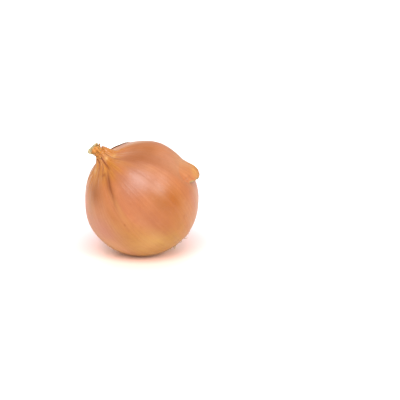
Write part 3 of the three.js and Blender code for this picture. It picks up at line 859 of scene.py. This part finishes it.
def roots(material):
    """All the dry roots as one piece. Each is a tapered tube round a middle line, whose direction leans
    away from the crown's middle and turns on its way by chance. The lines stay above the table."""
    chance = np.random.default_rng(7)
    steps, sides = ROOT_STEPS, ROOT_SIDES
    share = np.sqrt((np.arange(ROOT_COUNT) + 0.5) / ROOT_COUNT)
    azimuth = np.arange(ROOT_COUNT) * ROOT_TURN + chance.normal(0, 0.15, ROOT_COUNT)
    length = chance.uniform(*ROOT_LENGTHS, ROOT_COUNT) * (1.1 - 0.3 * share)
    splay = (10 + 62 * share**1.5 + chance.normal(0, 10, ROOT_COUNT)) * DEG
    thick = chance.uniform(*ROOT_RADII, ROOT_COUNT)
    reach = np.linspace(0, 1, steps)[None, :, None]

    def per_root(values):
        return np.asarray(values)[:, None, None]

    away = np.stack([np.cos(azimuth), np.sin(azimuth), np.zeros(ROOT_COUNT)], -1)[:, None, :]
    down = np.array([0, 0, -1.0])
    heading = away * per_root(np.sin(splay)) + down * per_root(np.cos(splay))
    heading = heading + chance.normal(0, 1.1, (ROOT_COUNT, 1, 3)) * reach
    heading = heading + chance.normal(0, 1.5, (ROOT_COUNT, 1, 3)) * reach**2 + 0.5 * away * reach**2
    line = np.cumsum(unit(heading), axis=1) * per_root(length / steps)
    line = line + away * per_root(share * (CROWN_RADIUS - 0.5)) + down * -ROOT_START
    # Lines that come near the bulb are pushed out of it, and then up to rest on the table.
    out = np.hypot(line[..., 0], line[..., 1])
    below = np.interp(out, FINE_RADIUS[FINE_UNDERSIDE], FINE_HEIGHT[FINE_UNDERSIDE]) - 0.7
    line[..., 2] = np.where(out > 8.5, np.minimum(line[..., 2], below), line[..., 2])
    line = lean(line)
    least = 0.55 + 0.35 * np.abs(np.sin(3 * line[..., 0] + 2 * line[..., 1]))
    line[..., 2] = np.maximum(line[..., 2], least)

    # A tube's two cross directions come from its own direction and one that no root follows.
    along = unit(np.gradient(line, axis=1))
    first = unit(np.cross(along, np.array([0.36, -0.48, 0.8])))
    second = np.cross(along, first)
    turn = np.arange(sides) * 2 * np.pi / sides
    wrinkled = 1 + 0.14 * chance.standard_normal((ROOT_COUNT, steps, 1))
    taper = per_root(thick) * (1 - 0.7 * reach**1.5) * wrinkled
    taper[:, -1] *= 0.2
    ring = first[:, :, None] * np.cos(turn)[:, None] + 0.7 * second[:, :, None] * np.sin(turn)[:, None]
    points = line[:, :, None] + ring * taper[:, :, None]
    points[..., 2] = np.maximum(points[..., 2], 0.02)

    size = steps * sides
    first_corner = np.arange(ROOT_COUNT)[:, None, None] * size
    quads = (grid_faces(steps, sides, wraps=True)[None] + first_corner).reshape(-1, 4)
    caps = np.stack([np.arange(sides)[::-1], size - sides + np.arange(sides)])
    ends = (caps[None] + first_corner).reshape(-1, sides)
    shape = (ROOT_COUNT, steps, sides)
    shade = np.broadcast_to((1 - reach) ** 3 * 0.8, shape)
    tone = np.broadcast_to(per_root(chance.uniform(0, 0.8, ROOT_COUNT) ** 2), shape)
    make_piece("roots", points.reshape(-1, 3), quads.tolist() + ends.tolist(), material, "root_tuft",
               {"shade": shade.ravel(), "tone": tone.ravel()})


# ---------------------------------------- camera, light and floor

def aim(thing, place, towards):
    """Puts a camera or light at a place, looking towards a point, level from left to right."""
    back = (place - towards).normalized()
    right = Vector((0, 0, 1)).cross(back).normalized()
    turned = Matrix((right, back.cross(right), back)).transposed().to_4x4()
    thing.matrix_world = Matrix.Translation(place) @ turned


def add_camera():
    """The camera: a long lens, looking down a little. Its axis passes right of the onion."""
    data = bpy.data.cameras.new("camera")
    data.lens = CAMERA_LENS
    data.sensor_width = SENSOR_WIDTH
    data.clip_start = 0.01
    camera = bpy.data.objects.new("camera", data)
    bpy.context.scene.collection.objects.link(camera)
    up = Vector((0, np.sin(CAMERA_ELEVATION), np.cos(CAMERA_ELEVATION)))
    back = Vector((0, -np.cos(CAMERA_ELEVATION), np.sin(CAMERA_ELEVATION)))
    target = Vector((AIM_RIGHT, 0, CENTRE_HEIGHT)) - up * AIM_DOWN
    aim(camera, (target + back * CAMERA_DISTANCE) * MM, target * MM)
    bpy.context.scene.camera = camera


def add_light(name, direction, distance, side, radiance):
    """A square soft box in a direction from the belly's centre. Its power is its radiance times its area
    times pi."""
    data = bpy.data.lights.new(name, "AREA")
    data.shape = "SQUARE"
    data.size = side
    data.energy = radiance * side * side * np.pi
    light = bpy.data.objects.new(name, data)
    bpy.context.scene.collection.objects.link(light)
    centre = Vector((0, 0, CENTRE_HEIGHT * MM))
    aim(light, centre + Vector(direction).normalized() * distance, centre)


# The white room round the onion: how bright it is where no reflector stands, and how much less overhead.
# Each reflector has its direction, how much it adds in its middle, and how fast that falls off.
ROOM_LIGHT, ROOM_OVERHEAD = 0.36, -0.10
REFLECTORS = [((0.25, -0.45, 0.86), 0.4, 4), ((-0.86, -0.45, 0.12), 0.55, 4), ((0.83, 0.36, 0.42), 0.6, 4),
              ((-0.30, -0.95, 0.08), 0.4, 4), ((-0.50, 0.84, 0.22), 1.3, 3)]

# The soft boxes: name, direction, distance and side in metres, and radiance.
SOFT_BOXES = [("front_soft_box", (-0.05, -0.62, 0.77), 3.0, 2.25, 7.9),
              ("right_soft_box", (0.64, -0.557, 0.524), 3.0, 1.1, 12.2)]
FLOOR_REACH = 3.0  # metres to each side


def add_room():
    """A white room with soft reflectors. A reflector's light is a power of the cosine of the angle from
    its middle."""
    world = bpy.data.worlds.new("studio")
    bpy.context.scene.world = world
    world.use_nodes = True
    tree = world.node_tree
    tree.nodes.clear()
    direction = add(tree, "TexCoord", output="Generated")
    overhead = add(tree, "VectorMath", {0: direction, 1: (0, 0, ROOM_OVERHEAD)}, "Value",
                   operation="DOT_PRODUCT")
    glow = add(tree, "Math", {0: overhead, 1: ROOM_LIGHT}, operation="ADD")
    for middle, amount, sharpness in REFLECTORS:
        middle = Vector(middle).normalized()
        cosine = add(tree, "VectorMath", {0: direction, 1: middle}, "Value", operation="DOT_PRODUCT")
        facing = add(tree, "Math", {0: cosine, 1: 0.0}, operation="MAXIMUM")
        lobe = add(tree, "Math", {0: facing, 1: sharpness}, operation="POWER")
        glow = add(tree, "Math", {0: lobe, 1: amount, 2: glow}, operation="MULTIPLY_ADD")
    white = add(tree, "Background", {"Color": "#FFFFFF", "Strength": glow})
    add(tree, "OutputWorld", {"Surface": white})


def add_floor():
    """A pale matte table top. It has a slight painted glow that lightens the onion's shadow, and near the
    onion its colour is painted peach, for the light that comes back off the skin, fading to white 250 mm
    away."""
    material, tree = new_material("pale_floor")
    place = add(tree, "TexCoord", output="Object")
    far = add(tree, "VectorMath", {0: place}, "Value", operation="LENGTH")
    # Painted light: the peach near the onion stands for light bounced off the skin, and the glow lightens
    # the shadow.
    colour = add(tree, "ValToRGB", {"Fac": far}, stops=[
        (0.0, "#F0C8AC"), (0.04, "#EFD0CE"), (0.08, "#F6E0E6"), (0.25, "#FFFEFE")])
    floor_shader = add(tree, "BsdfPrincipled", {
        "Base Color": colour, "Roughness": 0.5, "Emission Color": "#FFD2B8", "Emission Strength": 0.10})
    add(tree, "OutputMaterial", {"Surface": floor_shader})
    mesh = bpy.data.meshes.new("floor")
    corners = [(x * FLOOR_REACH, y * FLOOR_REACH, 0) for x, y in ((-1, -1), (1, -1), (1, 1), (-1, 1))]
    mesh.from_pydata(corners, [], [(0, 1, 2, 3)])
    mesh.materials.append(material)
    floor = bpy.data.objects.new("floor", mesh)
    bpy.context.scene.collection.objects.link(floor)


# ---------------------------------------- the onion

add_camera()
add_room()
for soft_box in SOFT_BOXES:
    add_light(*soft_box)
add_floor()
bpy.context.scene.view_settings.view_transform = "Standard"

bulb_piece(onion_skin())
loose = torn_onion_skin()
shoulder_skin(loose)
flank_skin(loose)
for number, middle in enumerate((20, 145, -100), 1):
    collar_skin(number, middle, loose)
neck_papers = [papery_leaf("dry_neck_leaf", dark="#B8722D", light="#D09545", torn="#A88E5C"),
               papery_leaf("bleached_neck_leaf", dark="#C4AF80", light="#DCD0A8", torn="#ACA584")]
for number, (*shape, paper) in enumerate(LEAVES, 1):
    neck_leaf(number, *shape, neck_papers[paper])
root_crown(dry_root("corky_crown", dark="#7A5A30", light="#A88A58"))
roots(dry_root("dried_root", dark="#A88C58", light="#D2BC8C"))
